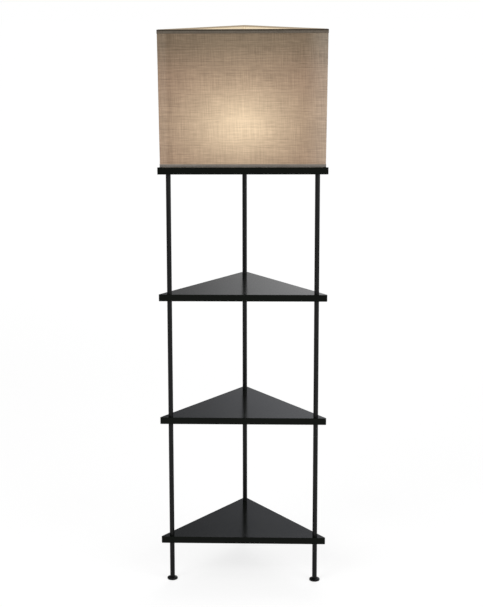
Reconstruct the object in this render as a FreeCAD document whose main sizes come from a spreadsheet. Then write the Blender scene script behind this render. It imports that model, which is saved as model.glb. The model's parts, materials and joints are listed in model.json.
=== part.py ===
"""Shelf floor lamp: three tube posts carry three triangular shelves and a triangular deck, and a
three-sided fabric shade with a bulb stands on the deck.

Millimetres, +Z up, front towards -Y. The origin is on the floor, under the middle of the boards.
"""

import FreeCAD, Part
import math
import os
import Sketcher
from FreeCAD import Vector

SIZES = {
    # triangular boards: the sharp triangle that their sides would meet in
    "shelf_width": 445.0,
    "shelf_depth": 323.0,
    "board_thickness": 18.0,
    "board_corner_radius": 3.5,
    "board_edge_round": 0.8,
    # posts
    "post_inset": 16.0,
    "post_diameter": 12.7,
    "post_wall": 1.2,
    "leg_length": 100.0,
    "span_length": 314.6,
    # joints of the posts
    "insert_length": 16.0,
    "stud_diameter": 6.0,
    "stud_grip": 13.0,
    "pipe_stud_diameter": 8.0,
    "pipe_stud_bore": 5.0,
    "thread_clearance": 0.05,
    "board_hole_clearance": 0.25,
    "deck_screw_head_diameter": 12.0,
    "deck_screw_head_height": 3.4,
    "deck_nut_width": 13.0,
    "deck_nut_height": 4.0,
    # levelling feet
    "foot_diameter": 28.0,
    "foot_edge_height": 4.8,
    "foot_height": 7.8,
    "foot_crown_diameter": 15.0,
    "foot_edge_round": 1.6,
    "foot_stud_length": 24.0,
    "foot_stud_floor": 2.0,
    # lead inlet in the rear leg
    "inlet_height": 62.0,
    "inlet_sleeve_diameter": 8.0,
    "inlet_flange_diameter": 11.0,
    "inlet_flange_thickness": 2.0,
    "inlet_bore": 6.0,
    "inlet_depth": 3.35,
    # lamp nipple and what clamps it to the deck
    "nipple_diameter": 10.0,
    "nipple_bore": 7.0,
    "nipple_below_deck": 9.0,
    "nipple_above_deck": 12.0,
    "washer_diameter": 26.0,
    "washer_thickness": 1.6,
    "locknut_width": 17.0,
    "locknut_height": 4.0,
    "base_plate_diameter": 64.0,
    "base_plate_height": 6.0,
    "base_plate_wall": 1.2,
    # lamp holder
    "holder_diameter": 44.0,
    "holder_height": 56.0,
    "holder_neck_diameter": 37.0,
    "holder_shoulder_height": 26.0,
    "holder_floor": 26.0,
    "screw_shell_diameter": 27.4,
    "screw_shell_wall": 0.5,
    "screw_shell_height": 24.0,
    "contact_diameter": 8.0,
    "contact_height": 1.6,
    "clamp_ring_diameter": 50.0,
    "clamp_ring_height": 8.0,
    # bulb
    "cap_diameter": 26.3,
    "cap_height": 22.0,
    "cap_wall": 0.4,
    "bulb_insulator_height": 3.6,
    "bulb_insulator_foot": 11.0,
    "bulb_contact_diameter": 9.0,
    "bulb_contact_height": 1.4,
    "bulb_contact_gap": 0.3,
    "bulb_diameter": 60.0,
    "bulb_length": 108.0,
    "glass_wall": 0.8,
    # shade
    "shade_height": 349.4,
    "shade_inset_bottom": 4.7,
    "shade_inset_top": 2.6,
    "panel_thickness": 1.2,
    "hem_height": 10.0,
    "hem_thickness": 0.6,
    "wire_diameter": 3.0,
    "wire_bend": 6.0,
    "fitter_ring_diameter": 58.0,
    "fitter_ring_thickness": 2.0,
    "arm_diameter": 3.5,
    "arm_lift": 9.0,
    "arm_weld": 0.1,
}

FULL_TURN = 360
TOLERANCE = 0.01

doc = FreeCAD.newDocument("shelf_floor_lamp")
sizes = doc.addObject("Spreadsheet::Sheet", "sizes")
for row, (alias, number) in enumerate(SIZES.items(), start=1):
    sizes.set(f"A{row}", alias)
    sizes.set(f"B{row}", str(number))
    sizes.setAlias(f"B{row}", alias)
doc.recompute()

parts = {}


# ---------------------------------------------------------------- the triangular plan, as formulas

# The angle between the front edge and either side edge.
FRONT_ANGLE = "atan(2 * sizes.shelf_depth / sizes.shelf_width)"


def plan_corners(inset):
    """Corners of the plan triangle, moved in by inset from each side: left, right, rear."""
    half = f"(sizes.shelf_width / 2 - ({inset}) / tan({FRONT_ANGLE} / 2))"
    rear = f"(sizes.shelf_depth - ({inset}) / cos({FRONT_ANGLE}))"
    return [(f"-{half}", f"({inset})"), (half, f"({inset})"), ("0", rear)]


# The plan is drawn from its front edge. The rounded rear corner is a little short of the sharp
# one, and half of what is left is how far the front edge stands before the origin.
FRONT_Y = (
    "(-(sizes.shelf_depth"
    f" - sizes.board_corner_radius * (1 / cos({FRONT_ANGLE}) - 1)) / 2)"
)
POSTS = dict(zip(("left", "right", "rear"), plan_corners("sizes.post_inset")))
LAMP_Y = "(sizes.shelf_depth / 3)"

LEG_Z = "sizes.foot_height"
LOWER_SHELF_Z = "(sizes.foot_height + sizes.leg_length)"
SHELF_PITCH = "(sizes.span_length + sizes.board_thickness)"
BOARDS = ["lower_shelf", "middle_shelf", "upper_shelf", "top_deck"]
BOARD_Z = {name: f"({LOWER_SHELF_Z} + {n} * {SHELF_PITCH})" for n, name in enumerate(BOARDS)}
DECK_UNDER_Z = BOARD_Z["top_deck"]
DECK_Z = f"({DECK_UNDER_Z} + sizes.board_thickness)"
HOLDER_Z = f"({DECK_Z} + sizes.base_plate_height)"
BULB_Z = (
    f"({HOLDER_Z} + sizes.holder_floor + sizes.contact_height + sizes.bulb_contact_gap)"
)
RING_Z = f"({HOLDER_Z} + sizes.holder_shoulder_height)"

INSERT_RADIUS = "(sizes.post_diameter / 2 - sizes.post_wall)"
STUD_RADIUS = "(sizes.stud_diameter / 2)"
PIPE_STUD_RADIUS = "(sizes.pipe_stud_diameter / 2)"


# ------------------------------------------------------------------------------- building blocks


def size(alias):
    """A driving dimension as a number, for shapes that are worked out in this script."""
    return float(sizes.get(alias))


def place(piece, x="0", y="0", z="0"):
    """Puts a piece at plan position x, y (y from the front edge of the boards) and height z."""
    piece.setExpression("Placement.Base.x", x)
    piece.setExpression("Placement.Base.y", f"{FRONT_Y} + {y}")
    piece.setExpression("Placement.Base.z", z)


def new_body(name):
    body = doc.addObject("PartDesign::Body", name)
    body.Label = name
    return body


def sketch_on(body, name, role="XY_Plane", height=None):
    """An empty sketch on one of the body's own origin planes, or at a height above it."""
    sketch = body.newObject("Sketcher::SketchObject", name)
    plane = next(f for f in body.Origin.OriginFeatures if f.Role == role)
    sketch.AttachmentSupport = (plane, [""])
    sketch.MapMode = "FlatFace"
    if height:
        sketch.setExpression("AttachmentOffset.Base.z", height)
    return sketch


def bind(sketch, constraint, name, formula):
    """Adds a constraint whose value follows a formula on the sheet."""
    sketch.renameConstraint(sketch.addConstraint(constraint), name)
    sketch.setExpression(f"Constraints.{name}", formula)


def add_outline(sketch, corners):
    """A closed outline of straight lines. Each corner is a pair of formulas on the sheet."""
    first = sketch.GeometryCount
    count = len(corners)
    start = [
        Vector(math.cos(2 * math.pi * k / count), math.sin(2 * math.pi * k / count), 0)
        for k in range(count)
    ]
    for k in range(count):
        sketch.addGeometry(Part.LineSegment(start[k], start[(k + 1) % count]), False)
    for k in range(count):
        here, after = first + k, first + (k + 1) % count
        sketch.addConstraint(Sketcher.Constraint("Coincident", here, 2, after, 1))
    for k, (x, y) in enumerate(corners):
        across = Sketcher.Constraint("DistanceX", -1, 1, first + k, 1, start[k].x)
        along = Sketcher.Constraint("DistanceY", -1, 1, first + k, 1, start[k].y)
        bind(sketch, across, f"x{first + k}", x)
        bind(sketch, along, f"y{first + k}", y)


def add_circle(sketch, radius, x="0", y="0"):
    """A circle about a plan position, all three values formulas on the sheet."""
    circle = sketch.addGeometry(Part.Circle(Vector(1, 1, 0), Vector(0, 0, 1), 1), False)
    bind(sketch, Sketcher.Constraint("DistanceX", -1, 1, circle, 3, 1), f"x{circle}", x)
    bind(sketch, Sketcher.Constraint("DistanceY", -1, 1, circle, 3, 1), f"y{circle}", y)
    bind(sketch, Sketcher.Constraint("Radius", circle, 1), f"r{circle}", radius)


def pad(body, sketch, length, name="pad"):
    feature = body.newObject("PartDesign::Pad", name)
    feature.Profile = sketch
    feature.setExpression("Length", length)
    return feature


def pocket_upwards(body, sketch, length=None, name="pocket"):
    """Cuts a sketch upwards out of the body, through all of it where no length is given."""
    doc.recompute()
    before = body.Tip.Shape.Volume
    feature = body.newObject("PartDesign::Pocket", name)
    feature.Profile = sketch
    feature.Reversed = True
    if length:
        feature.setExpression("Length", length)
    else:
        feature.Type = "ThroughAll"
    doc.recompute()
    if feature.Shape.Volume >= before:
        raise RuntimeError(f"{body.Label}: {name} cuts nothing")
    return feature


def turned(name, profile, x="0", y="0", z="0"):
    """A turned piece: a closed profile of (radius, height) corners, spun about its own Z axis."""
    body = new_body(name)
    sketch = sketch_on(body, name + "_profile", "XZ_Plane")
    add_outline(sketch, profile)
    spin = body.newObject("PartDesign::Revolution", name + "_turning")
    spin.Profile = sketch
    spin.ReferenceAxis = (sketch, ["V_Axis"])
    spin.Angle = FULL_TURN
    place(body, x, y, z)
    return body


def round_edges(body, chosen, radius, name="rounding"):
    """Rounds the edges of the body's last feature for which chosen(edge) is true."""
    doc.recompute()
    last = body.Tip
    edges = [f"Edge{k}" for k, edge in enumerate(last.Shape.Edges, 1) if chosen(edge)]
    feature = body.newObject("PartDesign::Fillet", name)
    feature.Base = (last, edges)
    feature.setExpression("Radius", radius)


def sleeve_profile(outer, inner, low, high):
    """The (radius, height) corners of a plain sleeve."""
    return [(inner, low), (outer, low), (outer, high), (inner, high)]


def keep(name, piece):
    """Lists a finished piece for export under its node's name."""
    parts[name] = piece
    return piece


def group(name, solids):
    """Identical small pieces that share one node, each a separate solid."""
    piece = doc.addObject("Part::Feature", name)
    piece.Label = name
    piece.Shape = Part.makeCompound(solids)
    return keep(name, piece)


def moved(source, base, height=0.0):
    """A copy of a source piece's shape at a base point, raised by a height."""
    shape = source.Shape.copy()
    shape.Placement = FreeCAD.Placement(base + Vector(0, 0, height), FreeCAD.Rotation())
    return shape


# ------------------------------------------------------------------------------------ the boards


def is_upright(edge):
    first, last = edge.Vertexes[0].Point, edge.Vertexes[-1].Point
    return abs(first.z - last.z) > (first - last).Length / 2


def is_outer_rim(edge):
    """Edges round the top and bottom faces."""
    return not is_upright(edge)


def board(name):
    """A triangular board with rounded corners and a hole for each post's stud."""
    body = new_body(name)
    outline = sketch_on(body, name + "_outline")
    add_outline(outline, plan_corners("0"))
    pad(body, outline, "sizes.board_thickness", name + "_slab")
    round_edges(body, is_upright, "sizes.board_corner_radius", name + "_corners")
    round_edges(body, is_outer_rim, "sizes.board_edge_round", name + "_edges")
    holes = sketch_on(body, name + "_hole_plan")
    for post, (x, y) in POSTS.items():
        radius = PIPE_STUD_RADIUS if post == "rear" else STUD_RADIUS
        add_circle(holes, f"{radius} + sizes.board_hole_clearance", x, y)
    pocket_upwards(body, holes, name=name + "_holes")
    place(body, z=BOARD_Z[name])
    return keep(name, body)


def top_deck():
    """The deck is a board with seats for the screw heads and a hole for the lamp nipple."""
    body = board("top_deck")
    centre = sketch_on(body, "nipple_hole_plan")
    add_circle(centre, "sizes.nipple_diameter / 2 + sizes.board_hole_clearance", "0", LAMP_Y)
    pocket_upwards(body, centre, name="nipple_hole")
    seat_floor = "sizes.board_thickness - sizes.deck_screw_head_height"
    seats = sketch_on(body, "screw_seat_plan", height=seat_floor)
    for post in ("left", "right"):
        x, y = POSTS[post]
        seat = "sizes.deck_screw_head_diameter / 2 + sizes.board_hole_clearance"
        add_circle(seats, seat, x, y)
    pocket_upwards(body, seats, "sizes.deck_screw_head_height", "screw_seats")


# ------------------------------------------------------------------------------------- the posts


def tube(name, post, z, length):
    """A straight post tube, open at both ends."""
    body = new_body(name)
    section = sketch_on(body, name + "_section")
    add_circle(section, "sizes.post_diameter / 2")
    add_circle(section, INSERT_RADIUS)
    pad(body, section, length, name + "_tube")
    x, y = POSTS[post]
    place(body, x, y, z)
    return keep(name, body)


def leg_with_inlet(name):
    """The rear leg is a tube with a hole in its back wall for the lead's bushing."""
    body = tube(name, "rear", LEG_Z, "sizes.leg_length")
    hole = sketch_on(body, name + "_inlet_plan", "XZ_Plane")
    add_circle(hole, "sizes.inlet_sleeve_diameter / 2", "0", f"sizes.inlet_height - {LEG_Z}")
    cut = body.newObject("PartDesign::Pocket", name + "_inlet")
    cut.Profile = hole
    cut.setExpression("Length", "sizes.post_diameter")
    doc.recompute()
    in_back_wall = Vector(
        0, (size("post_diameter") - size("post_wall")) / 2, size("inlet_height") - size("foot_height")
    )
    if cut.Shape.isInside(in_back_wall, TOLERANCE, True):
        raise RuntimeError(f"{name}: the inlet is not in the back wall")


def post_tubes():
    """Every post is a leg and three spans, one between each pair of boards."""
    spans = {"lower": "lower_shelf", "middle": "middle_shelf", "upper": "upper_shelf"}
    for post in POSTS:
        if post == "rear":
            leg_with_inlet("rear_leg")
        else:
            tube(f"{post}_leg", post, LEG_Z, "sizes.leg_length")
        for span, below in spans.items():
            foot = f"({BOARD_Z[below]} + sizes.board_thickness)"
            tube(f"{post}_{span}_post", post, foot, "sizes.span_length")


def post_fasteners():
    """Inserts pressed into the tube ends, and the studs and screws that draw the stack together."""
    inner = f"({STUD_RADIUS} + sizes.thread_clearance)"
    pipe_inner = f"({PIPE_STUD_RADIUS} + sizes.thread_clearance)"
    insert = turned("insert", sleeve_profile(INSERT_RADIUS, inner, "0", "sizes.insert_length"))
    pipe_insert = turned(
        "pipe_insert", sleeve_profile(INSERT_RADIUS, pipe_inner, "0", "sizes.insert_length")
    )
    grip, stack = "sizes.stud_grip", "sizes.board_thickness + sizes.stud_grip"
    stud = turned("stud", sleeve_profile(STUD_RADIUS, "0", f"-{grip}", stack))
    bore = "(sizes.pipe_stud_bore / 2)"
    pipe_stud = turned("pipe_stud", sleeve_profile(PIPE_STUD_RADIUS, bore, f"-{grip}", stack))
    head = "(sizes.deck_screw_head_diameter / 2)"
    under_head = "sizes.board_thickness - sizes.deck_screw_head_height"
    screw = turned(
        "screw",
        [
            ("0", f"-{grip}"),
            (STUD_RADIUS, f"-{grip}"),
            (STUD_RADIUS, under_head),
            (head, under_head),
            (head, "sizes.board_thickness"),
            ("0", "sizes.board_thickness"),
        ],
    )
    x, y = POSTS["rear"]
    pipe_top = "sizes.board_thickness + sizes.deck_nut_height"
    deck_pipe = turned(
        "rear_deck_pipe",
        sleeve_profile(PIPE_STUD_RADIUS, bore, f"-{grip}", pipe_top),
        x,
        y,
        DECK_UNDER_Z,
    )
    keep("rear_deck_pipe", deck_pipe)
    hex_nut(
        "rear_deck_nut",
        "sizes.deck_nut_width",
        "sizes.deck_nut_height",
        PIPE_STUD_RADIUS,
        x,
        y,
        DECK_Z,
    )
    doc.recompute()

    rise = size("board_thickness")
    for post in POSTS:
        tubes = [parts[f"{post}_leg"]]
        tubes += [parts[f"{post}_{span}_post"] for span in ("lower", "middle", "upper")]
        solids = []
        for number, piece in enumerate(tubes):
            base, length = piece.Placement.Base, piece.Shape.BoundBox.ZLength
            bottom = insert if post != "rear" or number == 0 else pipe_insert
            top = pipe_insert if post == "rear" else insert
            solids.append(moved(bottom, base))
            solids.append(moved(top, base, length - size("insert_length")))
        group(f"{post}_post_inserts", solids)
        shelf_feet = [piece.Placement.Base - Vector(0, 0, rise) for piece in tubes[1:]]
        source = pipe_stud if post == "rear" else stud
        name = "rear_hollow_studs" if post == "rear" else f"{post}_shelf_studs"
        group(name, [moved(source, base) for base in shelf_feet])

    deck_z = parts["top_deck"].Placement.Base.z
    bases = [parts[f"{post}_leg"].Placement.Base for post in ("left", "right")]
    group("deck_screws", [moved(screw, Vector(base.x, base.y, deck_z)) for base in bases])


def hex_nut(name, width, height, bore, x, y, z):
    """A six-sided nut with a plain hole; width is across its flats."""
    body = new_body(name)
    plan = sketch_on(body, name + "_plan")
    reach = f"{width} / 2 / cos(30 deg)"
    add_outline(plan, [(f"{reach} * cos({60 * k} deg)", f"{reach} * sin({60 * k} deg)")
                       for k in range(6)])
    add_circle(plan, bore)
    pad(body, plan, height, name + "_blank")
    place(body, x, y, z)
    return keep(name, body)


# -------------------------------------------------------------------------------------- the feet


def foot(post):
    """A levelling foot: a low domed pad moulded on a threaded stud."""
    x, y = POSTS[post]
    rim, crown = "(sizes.foot_diameter / 2)", "(sizes.foot_crown_diameter / 2)"
    pad_piece = turned(
        f"{post}_foot_pad",
        [
            ("0", "0"),
            (rim, "0"),
            (rim, "sizes.foot_edge_height"),
            (crown, "sizes.foot_height"),
            (STUD_RADIUS, "sizes.foot_height"),
            (STUD_RADIUS, "sizes.foot_stud_floor"),
            ("0", "sizes.foot_stud_floor"),
        ],
        x,
        y,
    )
    round_edges(
        pad_piece,
        lambda edge: isinstance(edge.Curve, Part.Circle)
        and abs(edge.Curve.Radius - size("foot_diameter") / 2) < TOLERANCE,
        "sizes.foot_edge_round",
        f"{post}_foot_rim",
    )
    keep(f"{post}_foot_pad", pad_piece)
    stud = turned(
        f"{post}_foot_stud",
        sleeve_profile(STUD_RADIUS, "0", "0", "sizes.foot_stud_length"),
        x,
        y,
        "sizes.foot_stud_floor",
    )
    keep(f"{post}_foot_stud", stud)


# --------------------------------------------------------------------------------- the lead inlet


def cord_bushing():
    """A flanged bushing in the rear leg's back wall; its flange is hollowed to sit on the tube."""
    x, y = POSTS["rear"]
    tube_radius = size("post_diameter") / 2
    outer_end = tube_radius + size("inlet_flange_thickness")
    start = Vector(0, size("inlet_depth"), 0)
    back = Vector(0, 1, 0)
    sleeve = Part.makeCylinder(
        size("inlet_sleeve_diameter") / 2, outer_end - start.y, start, back
    )
    flange = Part.makeCylinder(size("inlet_flange_diameter") / 2, outer_end, Vector(), back)
    post = Part.makeCylinder(
        tube_radius, 2 * tube_radius, Vector(0, 0, -tube_radius), Vector(0, 0, 1)
    )
    bore = Part.makeCylinder(size("inlet_bore") / 2, 2 * outer_end, Vector(), back)
    piece = doc.addObject("Part::Feature", "cord_bushing")
    piece.Label = "cord_bushing"
    piece.Shape = flange.cut(post).fuse(sleeve).cut(bore).removeSplitter()
    place(piece, x, y, "sizes.inlet_height")
    keep("cord_bushing", piece)


# ------------------------------------------------------------------------- nipple and lamp holder


def lamp_mounting():
    """The threaded nipple through the deck, with a washer and nut below and a plate above."""
    bore, radius = "(sizes.nipple_bore / 2)", "(sizes.nipple_diameter / 2)"
    top = "sizes.board_thickness + sizes.nipple_above_deck"
    nipple = turned(
        "lamp_nipple",
        sleeve_profile(radius, bore, "-sizes.nipple_below_deck", top),
        "0",
        LAMP_Y,
        DECK_UNDER_Z,
    )
    keep("lamp_nipple", nipple)
    washer = turned(
        "nipple_washer",
        sleeve_profile("(sizes.washer_diameter / 2)", radius, "-sizes.washer_thickness", "0"),
        "0",
        LAMP_Y,
        DECK_UNDER_Z,
    )
    keep("nipple_washer", washer)
    under = f"{DECK_UNDER_Z} - sizes.washer_thickness - sizes.locknut_height"
    hex_nut(
        "nipple_locknut", "sizes.locknut_width", "sizes.locknut_height", radius, "0", LAMP_Y, under
    )
    rim, wall = "(sizes.base_plate_diameter / 2)", "sizes.base_plate_wall"
    crown = "(sizes.holder_diameter / 2 + 2 * sizes.base_plate_wall)"
    plate = turned(
        "base_plate",
        [
            (radius, f"sizes.base_plate_height - {wall}"),
            (f"{crown} - {wall}", f"sizes.base_plate_height - {wall}"),
            (f"{rim} - {wall}", "0"),
            (rim, "0"),
            (crown, "sizes.base_plate_height"),
            (radius, "sizes.base_plate_height"),
        ],
        "0",
        LAMP_Y,
        DECK_Z,
    )
    keep("base_plate", plate)


def lamp_holder():
    """Insulating body with a shoulder for the shade ring, its screw shell and centre contact."""
    nipple = "(sizes.nipple_diameter / 2)"
    nipple_top = "(sizes.nipple_above_deck - sizes.base_plate_height)"
    neck = "(sizes.holder_neck_diameter / 2)"
    cavity = "(sizes.screw_shell_diameter / 2 + sizes.screw_shell_wall)"
    body = turned(
        "lamp_holder",
        [
            (nipple, "0"),
            ("(sizes.holder_diameter / 2)", "0"),
            ("(sizes.holder_diameter / 2)", "sizes.holder_shoulder_height"),
            (neck, "sizes.holder_shoulder_height"),
            (neck, "sizes.holder_height"),
            (cavity, "sizes.holder_height"),
            (cavity, "sizes.holder_floor"),
            ("0", "sizes.holder_floor"),
            ("0", nipple_top),
            (nipple, nipple_top),
        ],
        "0",
        LAMP_Y,
        HOLDER_Z,
    )
    keep("lamp_holder", body)
    floor = f"{HOLDER_Z} + sizes.holder_floor"
    shell = turned(
        "holder_screw_shell",
        sleeve_profile(
            cavity,
            "(sizes.screw_shell_diameter / 2)",
            "0",
            "sizes.screw_shell_height",
        ),
        "0",
        LAMP_Y,
        f"{floor} + sizes.holder_height - sizes.holder_floor - sizes.screw_shell_height",
    )
    keep("holder_screw_shell", shell)
    contact = turned(
        "holder_contact",
        sleeve_profile("(sizes.contact_diameter / 2)", "0", "0", "sizes.contact_height"),
        "0",
        LAMP_Y,
        floor,
    )
    keep("holder_contact", contact)
    ring_height = "sizes.fitter_ring_thickness"
    ring = turned(
        "shade_clamp_ring",
        sleeve_profile(
            "(sizes.clamp_ring_diameter / 2)", neck, ring_height,
            f"{ring_height} + sizes.clamp_ring_height",
        ),
        "0",
        LAMP_Y,
        RING_Z,
    )
    keep("shade_clamp_ring", ring)


# -------------------------------------------------------------------------------------- the bulb


def bulb():
    """A pear-shaped bulb on a screw cap, with its insulator and centre contact."""
    cap, wall = "(sizes.cap_diameter / 2)", "sizes.cap_wall"
    seat = "sizes.bulb_contact_height"
    collar = f"({seat} + sizes.bulb_insulator_height)"
    contact = turned(
        "bulb_contact",
        sleeve_profile("(sizes.bulb_contact_diameter / 2)", "0", "0", seat),
        "0",
        LAMP_Y,
        BULB_Z,
    )
    keep("bulb_contact", contact)
    insulator = turned(
        "bulb_insulator",
        [
            ("0", seat),
            ("(sizes.bulb_insulator_foot / 2)", seat),
            (cap, collar),
            ("0", collar),
        ],
        "0",
        LAMP_Y,
        BULB_Z,
    )
    keep("bulb_insulator", insulator)
    screw_cap = turned(
        "bulb_cap",
        sleeve_profile(cap, f"({cap} - {wall})", collar, f"({collar} + sizes.cap_height)"),
        "0",
        LAMP_Y,
        BULB_Z,
    )
    keep("bulb_cap", screw_cap)
    keep("bulb_globe", bulb_globe())


def bulb_globe():
    """A glass shell: a ball that runs down a straight flank, tangent to it, into the neck."""
    radius = size("bulb_diameter") / 2
    neck = size("cap_diameter") / 2 - size("cap_wall")
    neck_foot = size("bulb_contact_height") + size("bulb_insulator_height")
    neck_top = neck_foot + size("cap_height")
    centre = size("bulb_length") - radius
    glass = size("glass_wall")

    def outline(inwards):
        """The half section's boundary, moved inwards, closed along the axis."""
        ball, throat = radius - inwards, neck - inwards
        reach = math.hypot(throat, centre - neck_top)
        lean = math.atan2(throat, centre - neck_top) + math.acos(ball / reach)
        tangent = Vector(ball * math.sin(lean), 0, centre - ball * math.cos(lean))
        side, top = Vector(ball, 0, centre), Vector(0, 0, centre + ball)
        foot, lip = Vector(throat, 0, neck_foot), Vector(throat, 0, neck_top)
        between = lean + (math.pi / 2 - lean) / 2
        low = Vector(ball * math.sin(between), 0, centre - ball * math.cos(between))
        high = Vector(ball * math.sin(math.pi / 4), 0, centre + ball * math.cos(math.pi / 4))
        edges = [
            Part.LineSegment(foot, lip).toShape(),
            Part.LineSegment(lip, tangent).toShape(),
            Part.Arc(tangent, low, side).toShape(),
            Part.Arc(side, high, top).toShape(),
            Part.LineSegment(top, Vector(0, 0, neck_foot)).toShape(),
            Part.LineSegment(Vector(0, 0, neck_foot), foot).toShape(),
        ]
        face = Part.Face(Part.Wire(edges))
        return face.revolve(Vector(), Vector(0, 0, 1), FULL_TURN)

    piece = doc.addObject("Part::Feature", "bulb_globe")
    piece.Label = "bulb_globe"
    piece.Shape = outline(0.0).cut(outline(glass))
    place(piece, "0", LAMP_Y, BULB_Z)
    return piece


# ------------------------------------------------------------------------------------- the shade

PANEL_ENDS = {"front": ("left", "right"), "right": ("right", "rear"), "left": ("rear", "left")}


def shade_inset(height):
    """How far in from the boards' sides the fabric's outer face is at a height in the shade."""
    slope = "(sizes.shade_inset_top - sizes.shade_inset_bottom) / sizes.shade_height"
    return f"(sizes.shade_inset_bottom + {slope} * {height})"


def shade_panel(side):
    """One flat fabric panel, wider at the top, mitred where it meets the other two."""
    name = f"shade_{side}_panel"
    body = new_body(name)
    sections = []
    for end, height in (("bottom", None), ("top", "sizes.shade_height")):
        inset = f"sizes.shade_inset_{end}"
        outer = dict(zip(POSTS, plan_corners(inset)))
        inner = dict(zip(POSTS, plan_corners(f"{inset} + sizes.panel_thickness")))
        first, second = PANEL_ENDS[side]
        section = sketch_on(body, f"{name}_{end}", height=height)
        add_outline(section, [outer[first], outer[second], inner[second], inner[first]])
        sections.append(section)
    loft = body.newObject("PartDesign::AdditiveLoft", name + "_loft")
    loft.Profile = sections[0]
    loft.Sections = [sections[1]]
    loft.Ruled = True
    place(body, z=DECK_Z)
    keep(name, body)


def shade_hem(end, foot_height, widest):
    """A strip of fabric round one edge of the shade, just outside the panels."""
    name = f"shade_{end}_hem"
    body = new_body(name)
    inset = shade_inset(widest)
    section = sketch_on(body, name + "_section")
    add_outline(section, plan_corners(f"{inset} - sizes.hem_thickness"))
    add_outline(section, plan_corners(inset))
    pad(body, section, "sizes.hem_height", name + "_strip")
    place(body, z=f"{DECK_Z} + {foot_height}")
    keep(name, body)


def rod(first, last, radius):
    """A round rod between two points."""
    return Part.makeCylinder(radius, (last - first).Length, first, last - first)


def wire_corners(height):
    """The sharp corners of a wire just inside the panels, at a height in the shade."""
    lean = math.atan2(2 * size("shelf_depth"), size("shelf_width"))
    slope = (size("shade_inset_top") - size("shade_inset_bottom")) / size("shade_height")
    outside = size("shade_inset_bottom") + slope * height
    inset = outside + size("panel_thickness") + size("wire_diameter") / 2
    half = size("shelf_width") / 2 - inset / math.tan(lean / 2)
    rear = size("shelf_depth") - inset / math.cos(lean)
    return [Vector(-half, inset, height), Vector(half, inset, height), Vector(0, rear, height)]


def wire_bends(corners, bend):
    """Each corner of a wire ring as a bend: where it starts, its middle and where it ends."""
    bends = []
    for k, corner in enumerate(corners):
        back = (corners[k - 1] - corner).normalize()
        onward = (corners[(k + 1) % len(corners)] - corner).normalize()
        half = back.getAngle(onward) / 2
        inwards = (back + onward).normalize()
        middle = corner + inwards * bend * (1 / math.sin(half) - 1)
        reach = bend / math.tan(half)
        bends.append((corner + back * reach, middle, corner + onward * reach))
    return bends


def wire_ring(bends, radius):
    """A closed ring of round wire: straight sides joined by the bends."""
    edges = []
    for k, (start, middle, end) in enumerate(bends):
        following = bends[(k + 1) % len(bends)][0]
        edges.append(Part.Arc(start, middle, end).toShape())
        edges.append(Part.LineSegment(end, following).toShape())
    first, second = bends[0][2], bends[1][0]
    half_way = (first + second) / 2
    edges[1:2] = [
        Part.LineSegment(first, half_way).toShape(),
        Part.LineSegment(half_way, second).toShape(),
    ]
    path = Part.Wire(edges[2:] + edges[:2])
    section = Part.Wire(Part.makeCircle(radius, half_way, second - first))
    return path.makePipeShell([section], True, True)


def shade_piece(name, shape):
    """A piece of the shade's wire frame, worked out from the deck's upper face."""
    piece = doc.addObject("Part::Feature", name)
    piece.Label = name
    piece.Shape = shape
    place(piece, z=DECK_Z)
    keep(name, piece)


def shade_frame():
    """Top and bottom wires, three corner wires, and a centre ring on three arms."""
    radius, bend = size("wire_diameter") / 2, size("wire_bend")
    low = wire_bends(wire_corners(radius), bend)
    high = wire_bends(wire_corners(size("shade_height") - radius), bend)
    shade_piece("shade_bottom_wire", wire_ring(low, radius))
    shade_piece("shade_top_wire", wire_ring(high, radius))

    uprights = []
    for (_, foot_end, _), (_, head_end, _) in zip(low, high):
        weld = (head_end - foot_end).normalize() * radius
        uprights.append(rod(foot_end + weld, head_end - weld, radius))
    shade_piece("shade_corner_wires", Part.makeCompound(uprights))

    ring = turned(
        "fitter_ring",
        sleeve_profile(
            "(sizes.fitter_ring_diameter / 2)",
            "(sizes.holder_neck_diameter / 2)",
            "0",
            "sizes.fitter_ring_thickness",
        ),
        "0",
        LAMP_Y,
        RING_Z,
    )
    keep("fitter_ring", ring)

    ring_height = size("base_plate_height") + size("holder_shoulder_height")
    middle = Vector(0, size("shelf_depth") / 3, ring_height + size("fitter_ring_thickness") / 2)
    for post, (_, corner, _) in zip(POSTS, low):
        outwards = Vector(corner.x, corner.y - middle.y, 0).normalize()
        hub = middle + outwards * (size("fitter_ring_diameter") / 2 + size("arm_weld"))
        end = corner - outwards * (radius + size("arm_weld")) + Vector(0, 0, size("arm_lift"))
        shade_piece(f"{post}_shade_arm", rod(hub, end, size("arm_diameter") / 2))


# -------------------------------------------------------------------------------- the whole lamp


def build():
    for name in BOARDS[:-1]:
        board(name)
    top_deck()
    post_tubes()
    for post in POSTS:
        foot(post)
    post_fasteners()
    cord_bushing()
    lamp_mounting()
    lamp_holder()
    bulb()
    for side in PANEL_ENDS:
        shade_panel(side)
    shade_hem("bottom", "0", "sizes.hem_height")
    shade_hem("top", "sizes.shade_height - sizes.hem_height", "sizes.shade_height")
    shade_frame()
    doc.recompute()


def export():
    os.makedirs("parts", exist_ok=True)
    for piece in doc.Objects:
        if "Invalid" in piece.State or "Error" in piece.State:
            raise RuntimeError(f"{piece.Label} failed: {piece.State}")
    for name, piece in parts.items():
        if piece.Shape.isNull() or not piece.Shape.isValid():
            raise RuntimeError(f"{name} has no valid shape")
    for name, piece in parts.items():
        piece.Shape.exportStep(os.path.join("parts", f"{name}.step"))
        box = piece.Shape.BoundBox
        print(f"{name}: {len(piece.Shape.Solids)} solid, volume {piece.Shape.Volume:.0f},"
              f" z {box.ZMin:.2f} to {box.ZMax:.2f}")


build()
export()
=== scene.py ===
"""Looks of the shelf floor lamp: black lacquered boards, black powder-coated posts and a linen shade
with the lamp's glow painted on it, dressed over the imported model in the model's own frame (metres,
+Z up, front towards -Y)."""

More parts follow.
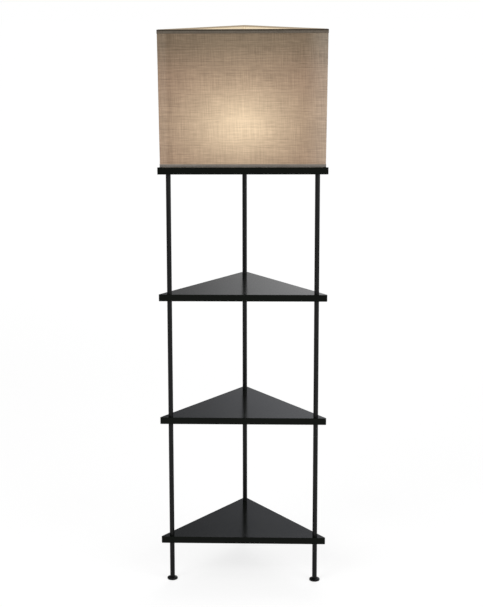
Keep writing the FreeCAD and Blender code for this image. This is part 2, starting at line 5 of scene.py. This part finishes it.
import json
import math

import bpy
import numpy as np
from mathutils import Matrix, Vector


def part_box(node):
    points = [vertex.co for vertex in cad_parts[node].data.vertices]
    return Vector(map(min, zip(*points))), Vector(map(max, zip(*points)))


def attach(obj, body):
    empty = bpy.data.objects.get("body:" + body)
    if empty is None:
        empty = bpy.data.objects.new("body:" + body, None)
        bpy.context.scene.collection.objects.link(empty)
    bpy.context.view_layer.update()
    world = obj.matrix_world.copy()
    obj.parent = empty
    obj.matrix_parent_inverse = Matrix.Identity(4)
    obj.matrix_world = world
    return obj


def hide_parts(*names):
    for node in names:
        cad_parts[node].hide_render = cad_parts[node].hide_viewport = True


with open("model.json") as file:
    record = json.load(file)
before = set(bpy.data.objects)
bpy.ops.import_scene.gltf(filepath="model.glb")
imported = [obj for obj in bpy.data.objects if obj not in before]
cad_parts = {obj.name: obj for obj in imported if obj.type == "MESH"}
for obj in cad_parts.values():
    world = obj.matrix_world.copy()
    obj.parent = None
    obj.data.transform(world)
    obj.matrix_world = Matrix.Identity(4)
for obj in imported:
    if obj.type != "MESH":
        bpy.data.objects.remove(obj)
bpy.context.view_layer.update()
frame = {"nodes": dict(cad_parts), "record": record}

# The boards' plan as a sharp triangle, and how the shade stands on the deck.
HALF_WIDTH = 0.2225
DEPTH = 0.323
FRONT_Y = -0.160165
SIDE_ANGLE = math.atan2(DEPTH, HALF_WIDTH)
DECK = float(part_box("top_deck")[1][2])
SHADE_TOP = float(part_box("shade_front_panel")[1][2])
SHADE_HEIGHT = SHADE_TOP - DECK
INSET_BOTTOM, INSET_TOP = 0.0047, 0.0026
BULB_LOW, BULB_HIGH = (Vector(corner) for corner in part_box("bulb_globe"))
BULB_RADIUS = (BULB_HIGH.x - BULB_LOW.x) / 2
BULB = Vector((0.0, (BULB_LOW.y + BULB_HIGH.y) / 2, BULB_HIGH.z - BULB_RADIUS))
WALL_GAP = BULB.y - FRONT_Y - (INSET_BOTTOM + INSET_TOP) / 2

# Where the glow painted on the shade is brightest, how far it reaches along the wall and up, and how
# it falls off.
GLOW_X, GLOW_HEIGHT = -0.006, DECK + 0.111
GLOW_ALONG, GLOW_UP, GLOW_POWER = 0.098, 0.073, -0.56

# The linen, its bands and the rim wire that the top band goes over.
THREAD_PITCH = 0.0011
CORNER_BEND = 0.0011
BAND_HEIGHT, BAND_PROUD = 0.010, 0.0006
BOTTOM_BAND_HEIGHT = 0.0085
RIM_MIDDLE, RIM_HALF_WIDTH = -0.00205, 0.00265
RIM_SPRING, RIM_RISE = SHADE_HEIGHT - 0.0014, 0.0020


# ---------------------------------------------------------------------------- shader expressions


class Signal:
    """One output of a shader node. Arithmetic on it adds Math nodes."""

    def __init__(self, finish, socket):
        self.finish = finish
        self.socket = socket

    def __add__(self, other):
        return self.finish.math("ADD", self, other)

    __radd__ = __add__

    def __sub__(self, other):
        return self.finish.math("SUBTRACT", self, other)

    def __rsub__(self, other):
        return self.finish.math("SUBTRACT", other, self)

    def __mul__(self, other):
        return self.finish.math("MULTIPLY", self, other)

    __rmul__ = __mul__

    def __truediv__(self, other):
        return self.finish.math("DIVIDE", self, other)

    def __rtruediv__(self, other):
        return self.finish.math("DIVIDE", other, self)

    def __pow__(self, other):
        return self.finish.math("POWER", self, other)


class Finish:
    """A material, or the world, as a node tree that is written in expressions."""

    def __init__(self, name, world=False):
        self.data = (bpy.data.worlds if world else bpy.data.materials).new(name)
        self.data.use_nodes = True
        self.tree = self.data.node_tree
        self.tree.nodes.clear()

    def node(self, kind, settings=None, inputs=None, output=0):
        """Adds a node: its settings first, then the values or links of its inputs."""
        made = self.tree.nodes.new(kind)
        for key, value in (settings or {}).items():
            setattr(made, key, value)
        for key, value in (inputs or {}).items():
            self.feed(made.inputs[key], value)
        return Signal(self, made.outputs[output]) if made.outputs else None

    def feed(self, socket, value):
        if isinstance(value, Signal):
            self.tree.links.new(value.socket, socket)
        elif isinstance(value, (tuple, list)) and socket.type == "RGBA":
            socket.default_value = (*value, 1.0)
        else:
            socket.default_value = value

    def math(self, operation, *values):
        return self.node("ShaderNodeMath", {"operation": operation}, dict(enumerate(values)))

    def place(self):
        """Where a point is on the lamp, in metres."""
        return self.node("ShaderNodeTexCoord", output="Object")

    def parts(self, vector):
        """The x, y and z of a vector."""
        split = self.node("ShaderNodeSeparateXYZ", inputs={"Vector": vector}).socket.node
        return [Signal(self, output) for output in split.outputs]

    def joined(self, x, y, z=0.0):
        return self.node("ShaderNodeCombineXYZ", inputs={"X": x, "Y": y, "Z": z})

    def noise(self, vector, scale, detail=2.0, roughness=0.5):
        return self.node(
            "ShaderNodeTexNoise",
            inputs={"Vector": vector, "Scale": scale, "Detail": detail, "Roughness": roughness},
        )

    def ramp(self, value, low, high):
        """0 below low, 1 above high, and smooth between."""
        return self.node(
            "ShaderNodeMapRange",
            {"interpolation_type": "SMOOTHSTEP"},
            {"Value": value, "From Min": low, "From Max": high},
        )

    def mix(self, factor, first, second):
        """first where factor is 0, second where it is 1; both are colours."""
        made = self.node("ShaderNodeMix", {"data_type": "RGBA"}, {0: factor, 6: first, 7: second})
        return Signal(self, made.socket.node.outputs[2])

    def blended(self, how, first, second, factor=1.0):
        """Two colours through one of the Mix node's ways of blending."""
        made = self.node(
            "ShaderNodeMix",
            {"data_type": "RGBA", "blend_type": how},
            {0: factor, 6: first, 7: second},
        )
        return Signal(self, made.socket.node.outputs[2])

    def tinted(self, colour, strength):
        """A colour times a number that changes over the surface."""
        made = self.node("ShaderNodeVectorMath", {"operation": "SCALE"}, {0: colour, 3: strength})
        return Signal(self, made.socket)

    def surface(self, **sockets):
        """The Principled shader, with its sockets named by words joined by underscores."""
        inputs = {key.replace("_", " "): value for key, value in sockets.items()}
        shader = self.node("ShaderNodeBsdfPrincipled", inputs=inputs)
        self.node("ShaderNodeOutputMaterial", inputs={"Surface": shader})
        return self.data

    def bump(self, height, strength, distance):
        return self.node(
            "ShaderNodeBump", inputs={"Height": height, "Strength": strength, "Distance": distance}
        )


# -------------------------------------------------------------------------------------- finishes


def board_lacquer():
    """Satin black lacquer: slightly uneven gloss over a very fine orange peel."""
    f = Finish("board_lacquer")
    p = f.place()
    cloud = f.noise(p, 9.0, 3.0)
    peel = f.noise(p, 420.0, 1.0)
    return f.surface(
        Base_Color=f.mix(cloud, (0.0020, 0.0027, 0.0018), (0.0038, 0.0046, 0.0034)),
        Roughness=0.12 + 0.08 * cloud,
        Specular_IOR_Level=0.08,
        Normal=f.bump(peel, 0.05, 0.0003),
    )


def post_coat():
    """Black powder coat: fine pimples under a soft sheen."""
    f = Finish("post_coat")
    p = f.place()
    grain = f.noise(p, 900.0, 2.0)
    drift = f.noise(p, 14.0, 2.0)
    return f.surface(
        Base_Color=f.mix(drift, (0.0025, 0.0025, 0.0025), (0.0045, 0.0045, 0.0043)),
        Roughness=0.28 + 0.08 * drift,
        Specular_IOR_Level=0.2,
        Normal=f.bump(grain, 0.12, 0.0003),
    )


def moulded_black(name, roughness):
    """Black moulded plastic with a faint mould texture."""
    f = Finish(name)
    p = f.place()
    grain = f.noise(p, 1400.0, 1.0)
    drift = f.noise(p, 60.0, 2.0)
    return f.surface(
        Base_Color=f.mix(drift, (0.003, 0.003, 0.003), (0.006, 0.006, 0.006)),
        Roughness=roughness + 0.1 * drift,
        Specular_IOR_Level=0.15,
        Normal=f.bump(grain, 0.1, 0.0002),
    )


def plated(name, colour, roughness):
    """Plated or drawn metal with fine turning marks and a drifting tone."""
    f = Finish(name)
    p = f.place()
    x, y, z = f.parts(p)
    marks = f.noise(f.joined(x * 0.1, y * 0.1, z * 4.0), 900.0, 2.0)
    drift = f.noise(p, 70.0, 2.0)
    dark = tuple(0.8 * part for part in colour)
    return f.surface(
        Base_Color=f.mix(drift, dark, colour),
        Metallic=1.0,
        Roughness=roughness + 0.15 * marks,
        Normal=f.bump(marks, 0.08, 0.0002),
    )


def wire_paint():
    """White paint on the shade's wires, with the lamp's glow painted on, as on the lining."""
    f = Finish("wire_paint")
    p = f.place()
    drift = f.noise(p, 120.0, 2.0)
    return f.surface(
        Base_Color=f.mix(drift, (0.42, 0.39, 0.34), (0.48, 0.45, 0.40)),
        Roughness=0.5 + 0.1 * drift,
        Emission_Color=f.tinted((0.8, 0.67, 0.48), 0.36 + painted_lamp_glow(f, p)),
        Emission_Strength=1.0,
    )


def bulb_glass():
    """Frosted glass, lit from inside: a little less bright towards the neck."""
    f = Finish("bulb_glass")
    _, _, z = f.parts(f.place())
    up = f.ramp(z, BULB_LOW.z, BULB.z)
    return f.surface(
        Base_Color=f.mix(up, (0.75, 0.70, 0.60), (0.9, 0.88, 0.82)),
        Roughness=0.35,
        Emission_Color=f.mix(up, (0.85, 0.62, 0.36), (1.0, 0.90, 0.70)),
        Emission_Strength=1.0,
    )


def painted_lamp_glow(f, p):
    """A painted glow on a wall, as if the bulb lit it from behind: 1 at the wall's point that is
    nearest to the bulb, and less with the offsets from it, along the wall and up. One is added to the
    squares of the offsets, each over its own reach, and the sum is taken to the glow's power. The
    square of the offset along the wall is that of the distance in plan less that of the wall's gap."""
    x, y, z = f.parts(p)
    aside, back = x - GLOW_X, y - BULB.y
    along = aside * aside + back * back - WALL_GAP ** 2
    up = (z - GLOW_HEIGHT) / GLOW_UP
    return (1.0 + along / GLOW_ALONG ** 2 + up * up) ** GLOW_POWER


def weave(f):
    """Linen on the cloth's own UV map, in metres: fine crossing threads, and the thick and thin
    places of the yarn, long one way and narrow the other, in weft and warp. Gives the threads'
    height round 0.5 and the cloth's density, round 1."""
    across, up, _ = f.parts(f.node("ShaderNodeUVMap", {"uv_map": "cloth"}))
    wander = 0.0006 * f.noise(f.joined(across, up), 60.0, 2.0)
    turns = 2 * math.pi / THREAD_PITCH
    warp = f.math("SINE", (across + wander) * turns)
    weft = f.math("SINE", (up + wander) * turns)
    threads = 0.5 + 0.25 * (warp + weft)
    weft_slubs = f.noise(f.joined(across * 31.0, up * 430.0), 1.0, 2.5, 0.6)
    warp_slubs = f.noise(f.joined(across * 430.0, up * 16.0, 7.0), 1.0, 2.5, 0.6)
    weft_bands = f.noise(f.joined(across * 4.0, up * 300.0, 3.0), 1.0, 1.0)
    clouds = f.noise(f.joined(across * 14.0, up * 18.0, 5.0), 1.0, 2.0)
    density = 0.75 * weft_slubs + 0.65 * warp_slubs + 0.45 * weft_bands + 0.2 * clouds - 0.025
    return threads, density


def shade_cloth():
    """Greige linen with the lamp's glow painted on it. It is paler and greyer in a wide strip at the
    right front corner and in a narrow faint one at the left, and a painted shadow of a wire behind the
    cloth makes a soft dark line beside the left one."""
    f = Finish("shade_cloth")
    p = f.place()
    x, _, z = f.parts(p)
    threads, linen = weave(f)
    # lit is the lamp's glow painted on the cloth: 1 where the bulb behind it would light it most.
    lit = painted_lamp_glow(f, p)
    # Painted shadow of the corner wire: a soft dark line at x = -0.186 m that darkens both the cloth's
    # colour and its painted glow.
    from_wire_shadow = f.math("ABSOLUTE", x + 0.186)
    density = 1 + (linen - 1) * (1.28 - 0.6 * lit)
    density = density * (0.92 + 0.08 * f.ramp(from_wire_shadow, 0.0, 0.010))
    # Paler, greyer strips along the front corners: wide at the right, narrow and faint at the left.
    paler_corner_strips = f.ramp(x, 0.150, 0.222) + 0.25 * f.ramp(x * -1.0, 0.188, 0.200)
    # The painted glow: the glow pattern in a warm colour, less a part that changes with height; high
    # marks the upper part.
    high = f.ramp(z, DECK + 0.20, DECK + 0.34)
    held_back = f.mix(high, (0.035, 0.080, 0.064), (0.088, 0.094, 0.076))
    glow = f.blended("SUBTRACT", f.tinted((0.798, 0.66, 0.445), lit), held_back)
    cloth = f.mix(paler_corner_strips, (0.083, 0.071, 0.058), (0.170, 0.159, 0.137))
    return f.surface(
        Base_Color=f.tinted(cloth, density),
        Roughness=0.9,
        Specular_IOR_Level=0.1,
        Emission_Color=f.tinted(glow, density),
        Emission_Strength=1.0,
        Normal=f.bump(threads + linen, 0.25, 0.0004),
    )


def band_cloth():
    """The folded band of the same linen, opaque and greyer. The top one has painted shade along its
    folded edge and a painted glow where it goes over to the inside; a painted glow seeps through the
    bottom one's edge."""
    f = Finish("band_cloth")
    _, _, z = f.parts(f.place())
    _, up, _ = f.parts(f.node("ShaderNodeUVMap", {"uv_map": "cloth"}))
    threads, density = weave(f)
    top = f.ramp(z, DECK + 0.1, DECK + 0.2)
    inside = f.ramp(up, 0.0102, 0.0116)
    # Painted shade on the top band's outer face, just below where it goes over the wire.
    fold_shade = top * f.ramp(up, 0.0060, 0.0072) * (1 - inside)
    tone = density * (1 - 0.70 * fold_shade)
    # Painted glow seeping through the upper edge of the bottom band.
    seeping = f.tinted((0.085, 0.060, 0.035), (1 - top) * f.ramp(up, 0.0035, BOTTOM_BAND_HEIGHT))
    # Painted glow on the top band where it is turned to the inside, and a trace of it outside.
    lit = f.mix(inside, (0.012, 0.008, 0.004), (0.33, 0.265, 0.185))
    return f.surface(
        Base_Color=f.tinted(f.mix(top, (0.145, 0.136, 0.128), (0.098, 0.084, 0.068)), tone),
        Roughness=0.92,
        Specular_IOR_Level=0.1,
        Emission_Color=f.blended("ADD", seeping, lit),
        Emission_Strength=1.0,
        Normal=f.bump(threads + density, 0.25, 0.0004),
    )


def lining_sheet():
    """The stiff cream liner behind the cloth, with the lamp's bright glow painted on it."""
    f = Finish("lining_sheet")
    p = f.place()
    drift = f.noise(p, 16.0, 2.0)
    return f.surface(
        Base_Color=f.mix(drift, (0.36, 0.33, 0.27), (0.40, 0.37, 0.31)),
        Roughness=0.7,
        Emission_Color=f.tinted((0.8, 0.67, 0.48), (0.4 + painted_lamp_glow(f, p)) * (0.94 + 0.12 * drift)),
        Emission_Strength=1.0,
    )


# ------------------------------------------------------------------------- shapes worked out here


def corner_points(inset):
    """Left, right and rear corner of the plan triangle, moved in by inset from each side. The
    front corners move by inset over the tangent of half their angle, the rear one by inset over
    the cosine of the side's angle."""
    inset = np.asarray(inset, float)
    half = HALF_WIDTH - inset / math.tan(SIDE_ANGLE / 2)
    rear = DEPTH - inset / math.cos(SIDE_ANGLE)
    zero = np.zeros_like(inset)
    corners = np.stack([np.stack([-half, inset]), np.stack([half, inset]), np.stack([zero, rear])])
    return np.moveaxis(corners, (0, 1), (-2, -1)) + np.array([0.0, FRONT_Y])


def plan_loop(side_steps=60, corner_steps=7):
    """Once round a triangle, starting at the rear corner and going left, front, right: at each
    step the shares of the three corners and the outward normal. Along a side the shares slide
    from one corner to the next; round a corner the normal turns between the two sides' normals."""
    slope = math.pi / 2 - SIDE_ANGLE
    turns = [
        (2, math.pi / 2, math.pi - slope),
        (0, math.pi - slope, 1.5 * math.pi),
        (1, 1.5 * math.pi, 2 * math.pi + slope),
        (2, 2 * math.pi + slope, 2.5 * math.pi),
    ]
    shares, normals = [], []
    for (corner, start, end), following in zip(turns, turns[1:] + [None]):
        angle = np.linspace(start, end, corner_steps)
        shares.append(np.tile(np.eye(3)[corner], (corner_steps, 1)))
        normals.append(np.stack([np.cos(angle), np.sin(angle)], 1))
        if following:
            t = np.linspace(0, 1, side_steps + 2)[1:-1, None]
            shares.append((1 - t) * np.eye(3)[corner] + t * np.eye(3)[following[0]])
            normals.append(np.tile([math.cos(end), math.sin(end)], (side_steps, 1)))
    return np.concatenate(shares), np.concatenate(normals)


def mesh_piece(name, points, material, uv=None, round_closed=False):
    """A grid of points (rows, columns, xyz) as a mesh of quads. Columns join up where
    round_closed is set, and uv gives each grid corner its place on the cloth."""
    rows, columns = points.shape[:2]
    stored = points[:, :-1] if round_closed else points
    width = stored.shape[1]
    row, column = np.meshgrid(np.arange(rows - 1), np.arange(columns - 1), indexing="ij")
    corners = [(row, column), (row, column + 1), (row + 1, column + 1), (row + 1, column)]
    faces = np.stack([r * width + c % width for r, c in corners], -1).reshape(-1, 4)
    mesh = bpy.data.meshes.new(name)
    mesh.from_pydata(stored.reshape(-1, 3).tolist(), [], faces.tolist())
    if uv is not None:
        layer = mesh.uv_layers.new(name="cloth")
        spread = np.stack([uv[r, c] for r, c in corners], -2).reshape(-1, 2)
        layer.data.foreach_set("uv", spread.ravel())
    mesh.polygons.foreach_set("use_smooth", np.ones(len(mesh.polygons), bool))
    mesh.materials.append(material)
    piece = bpy.data.objects.new(name, mesh)
    bpy.context.scene.collection.objects.link(piece)
    return piece


def thickened(piece, thickness):
    """Gives a sheet its thickness, inwards from its outer face."""
    solid = piece.modifiers.new("thickness", "SOLIDIFY")
    solid.thickness = thickness
    solid.offset = -1.0
    return piece


def round_the_shade(profile, bend, ripple=0.0):
    """A sheet round the shade. The profile gives (outwards, height above the deck) along the
    sheet's other direction, outwards from the shade's face, which leans from the bottom inset to
    the top one. Corners are rounded with the bend, one number or one per point of the profile, and
    the ripple is how far slow waves move the sheet in and out. Gives the points and their cloth
    coordinates."""
    shares, normals = plan_loop()
    outwards, height = np.asarray(profile, float).T
    inset = INSET_BOTTOM + (INSET_TOP - INSET_BOTTOM) * height / SHADE_HEIGHT
    centres = corner_points(inset + bend)
    flat = np.einsum("uk,vkc->vuc", shares, centres)
    flat = flat + (bend + outwards)[:, None, None] * normals[None]
    step = np.linalg.norm(np.diff(flat, axis=1), axis=2)
    run = np.concatenate([np.zeros((len(height), 1)), np.cumsum(step, axis=1)], axis=1)
    turn = 2 * math.pi * run / run[:, -1:]
    wave = np.sin(5 * turn + 9 * height[:, None]) + 0.6 * np.sin(11 * turn - 17 * height[:, None])
    flat = flat + ripple * wave[..., None] * normals[None]
    lift = np.broadcast_to((DECK + height)[:, None], run.shape)
    travelled = np.concatenate([[0.0], np.cumsum(np.hypot(np.diff(outwards), np.diff(height)))])
    uv = np.stack([run, np.broadcast_to(travelled[:, None], run.shape)], -1)
    return np.concatenate([flat, lift[..., None]], -1), uv


def shade_sheet(name, profile, material, thickness, bend=CORNER_BEND, ripple=0.0):
    points, uv = round_the_shade(profile, bend, ripple)
    piece = mesh_piece(name, points, material, uv, round_closed=True)
    return thickened(piece, thickness)


def upright(low, high, steps, outwards=0.0):
    """A straight profile from one height to another."""
    return np.stack([np.full(steps, outwards), np.linspace(low, high, steps)], 1)


# ------------------------------------------------------------------------------------- the pieces


def dress_shade():
    """Cloth on a stiff liner, a band round the bottom edge, and one that goes over the wire at the
    top edge, as half an ellipse with an upright part on either side."""
    cloth = shade_sheet(
        "shade_cloth", upright(0.0012, SHADE_HEIGHT - 0.0008, 24), shade_cloth(),
        thickness=0.0004, ripple=0.00012,
    )
    lining = shade_sheet(
        "shade_lining", upright(0.0012, SHADE_HEIGHT - 0.0012, 12, -0.0009), lining_sheet(),
        thickness=0.0003, bend=0.002,
    )
    band = band_cloth()
    turn = np.linspace(0, math.pi, 11)
    over = np.stack(
        [RIM_MIDDLE + RIM_HALF_WIDTH * np.cos(turn), RIM_SPRING + RIM_RISE * np.sin(turn)], 1
    )
    outer = upright(SHADE_HEIGHT - BAND_HEIGHT, RIM_SPRING - 0.0002, 8, BAND_PROUD)
    inner = upright(RIM_SPRING - 0.0002, RIM_SPRING - 0.0022, 2, RIM_MIDDLE - RIM_HALF_WIDTH)
    top = np.concatenate([outer, over, inner])
    rounder_inside = CORNER_BEND + 2 * np.maximum(-top[:, 0], 0.0)
    top_band = shade_sheet(
        "shade_top_band", top, band, thickness=0.0004, bend=rounder_inside, ripple=0.00008
    )
    bottom_band = shade_sheet(
        "shade_bottom_band", upright(0.0002, BOTTOM_BAND_HEIGHT, 5, BAND_PROUD), band,
        thickness=0.0005, ripple=0.00008,
    )
    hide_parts("shade_front_panel", "shade_left_panel", "shade_right_panel")
    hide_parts("shade_top_hem")
    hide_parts("shade_bottom_hem")
    for piece in (cloth, lining, top_band, bottom_band):
        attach(piece, "tower")


def finish_nodes():
    """Every solid of the model whose slot is in the table below gets its finish."""
    lacquer, coat = board_lacquer(), post_coat()
    plastic = moulded_black("foot_moulding", 0.30)
    holder = moulded_black("holder_moulding", 0.42)
    zinc = plated("zinc_plate", (0.62, 0.62, 0.63), 0.30)
    brass = plated("brass_sheet", (0.80, 0.60, 0.30), 0.25)
    cap = plated("cap_metal", (0.78, 0.78, 0.79), 0.28)
    finishes = {
        "board_black": lacquer,
        "post_black": coat,
        "plate_black": coat,
        "screw_black": coat,
        "foot_plastic": plastic,
        "bushing_plastic": plastic,
        "holder_plastic": holder,
        "zinc_steel": zinc,
        "contact_brass": brass,
        "bulb_metal": cap,
        "bulb_insulator": moulded_black("insulator_glass", 0.15),
        "bulb_glass": bulb_glass(),
        "frame_wire": wire_paint(),
    }
    slots = {part["node"]: part["material_slot"] for part in frame["record"]["subparts"]}
    for name, node in frame["nodes"].items():
        material = finishes.get(slots[name])
        if material:
            node.data.materials.clear()
            node.data.materials.append(material)


# ------------------------------------------------------------------------------ stage and camera


def build_stage():
    """A white floor that keeps the lamp's shadow, a white surround with painted reflections, and soft
    studio lamps.
    """
    f = Finish("floor_white")
    seen = f.node("ShaderNodeLightPath", output="Is Camera Ray")
    paint = f.node("ShaderNodeBsdfDiffuse", inputs={"Color": (0.85, 0.85, 0.85)})
    away = f.node("ShaderNodeVectorMath", {"operation": "LENGTH"}, {0: f.place()}, "Value")
    glow = f.node(
        "ShaderNodeEmission",
        inputs={"Color": (1.0, 1.0, 1.0), "Strength": 1.143 + 0.172 * f.ramp(away, 1.8, 6.0)},
    )
    both = f.node("ShaderNodeMixShader", inputs={0: 0.65 * seen, 1: paint, 2: glow})
    f.node("ShaderNodeOutputMaterial", inputs={"Surface": both})
    reach = np.linspace(-30.0, 30.0, 2)
    x, y = np.meshgrid(reach, reach + 20.0)
    floor = mesh_piece("studio_floor", np.stack([x, y, np.zeros_like(x)], -1), f.data)

    w = Finish("studio_surround", world=True)
    bpy.context.scene.world = w.data
    path = w.node("ShaderNodeLightPath").socket.node
    camera, glossy, through = (
        Signal(w, path.outputs[name])
        for name in ("Is Camera Ray", "Is Glossy Ray", "Is Transmission Ray")
    )
    x, _, z = w.parts(w.node("ShaderNodeTexCoord", output="Generated"))
    seen = w.math("MAXIMUM", camera, through)
    # Painted reflection: reflected rays see the surround brighter towards the right, dimmer and bluer
    # higher up; other rays see it even.
    reflected = 0.25 + 1.15 * w.ramp(x, -0.10, 0.09) * (1 - 0.62 * w.ramp(z, 0.20, 0.36))
    level = 0.50 * (1 - glossy) + glossy * reflected
    strength = seen + (1 - seen) * level
    cool = w.mix(glossy * w.ramp(z, 0.20, 0.28), (1.0, 1.0, 1.0), (0.99, 1.01, 1.10))
    background = w.node("ShaderNodeBackground", inputs={"Color": cool, "Strength": strength})
    w.node("ShaderNodeOutputWorld", inputs={"Surface": background})

    for name, place, power, size in (
        ("front_left_lamp", (-2.4, -3.2, 2.6), 75.0, 2.0),
        ("front_right_lamp", (2.6, -2.6, 2.0), 55.0, 2.2),
        ("back_lamp", (0.6, 3.2, 3.2), 40.0, 2.0),
    ):
        light = bpy.data.lights.new(name, "AREA")
        light.energy = power
        light.size = size
        lamp = bpy.data.objects.new(name, light)
        lamp.location = place
        aim = Vector((0.0, 0.0, 0.8)) - Vector(place)
        lamp.rotation_euler = aim.to_track_quat("-Z", "Y").to_euler()
        bpy.context.scene.collection.objects.link(lamp)


def set_camera():
    """The photograph's viewpoint: 3.86 m in front of the boards, 1.6 m up, looking down 11 degrees."""
    yaw, pitch, roll = (math.radians(angle) for angle in (2.475765, 11.109010, 0.366345))
    eye = Vector((0.068798, FRONT_Y - 3.860148, 1.606945))
    forward = Vector(
        (-math.sin(yaw) * math.cos(pitch), math.cos(yaw) * math.cos(pitch), -math.sin(pitch))
    )
    level = Vector((math.cos(yaw), math.sin(yaw), 0.0))
    down = forward.cross(level)
    right = level * math.cos(roll) + down * math.sin(roll)
    up = level * math.sin(roll) - down * math.cos(roll)
    data = bpy.data.cameras.new("photo_camera")
    data.lens = 89.9784
    data.sensor_width = 36.0
    data.shift_x = 0.06013
    data.shift_y = -0.05
    data.clip_end = 100.0
    camera = bpy.data.objects.new("photo_camera", data)
    camera.matrix_world = Matrix(
        (
            (right.x, up.x, -forward.x, eye.x),
            (right.y, up.y, -forward.y, eye.y),
            (right.z, up.z, -forward.z, eye.z),
            (0.0, 0.0, 0.0, 1.0),
        )
    )
    bpy.context.scene.collection.objects.link(camera)
    bpy.context.scene.camera = camera
    bpy.context.scene.view_settings.view_transform = "Standard"


set_camera()
build_stage()
finish_nodes()
dress_shade()
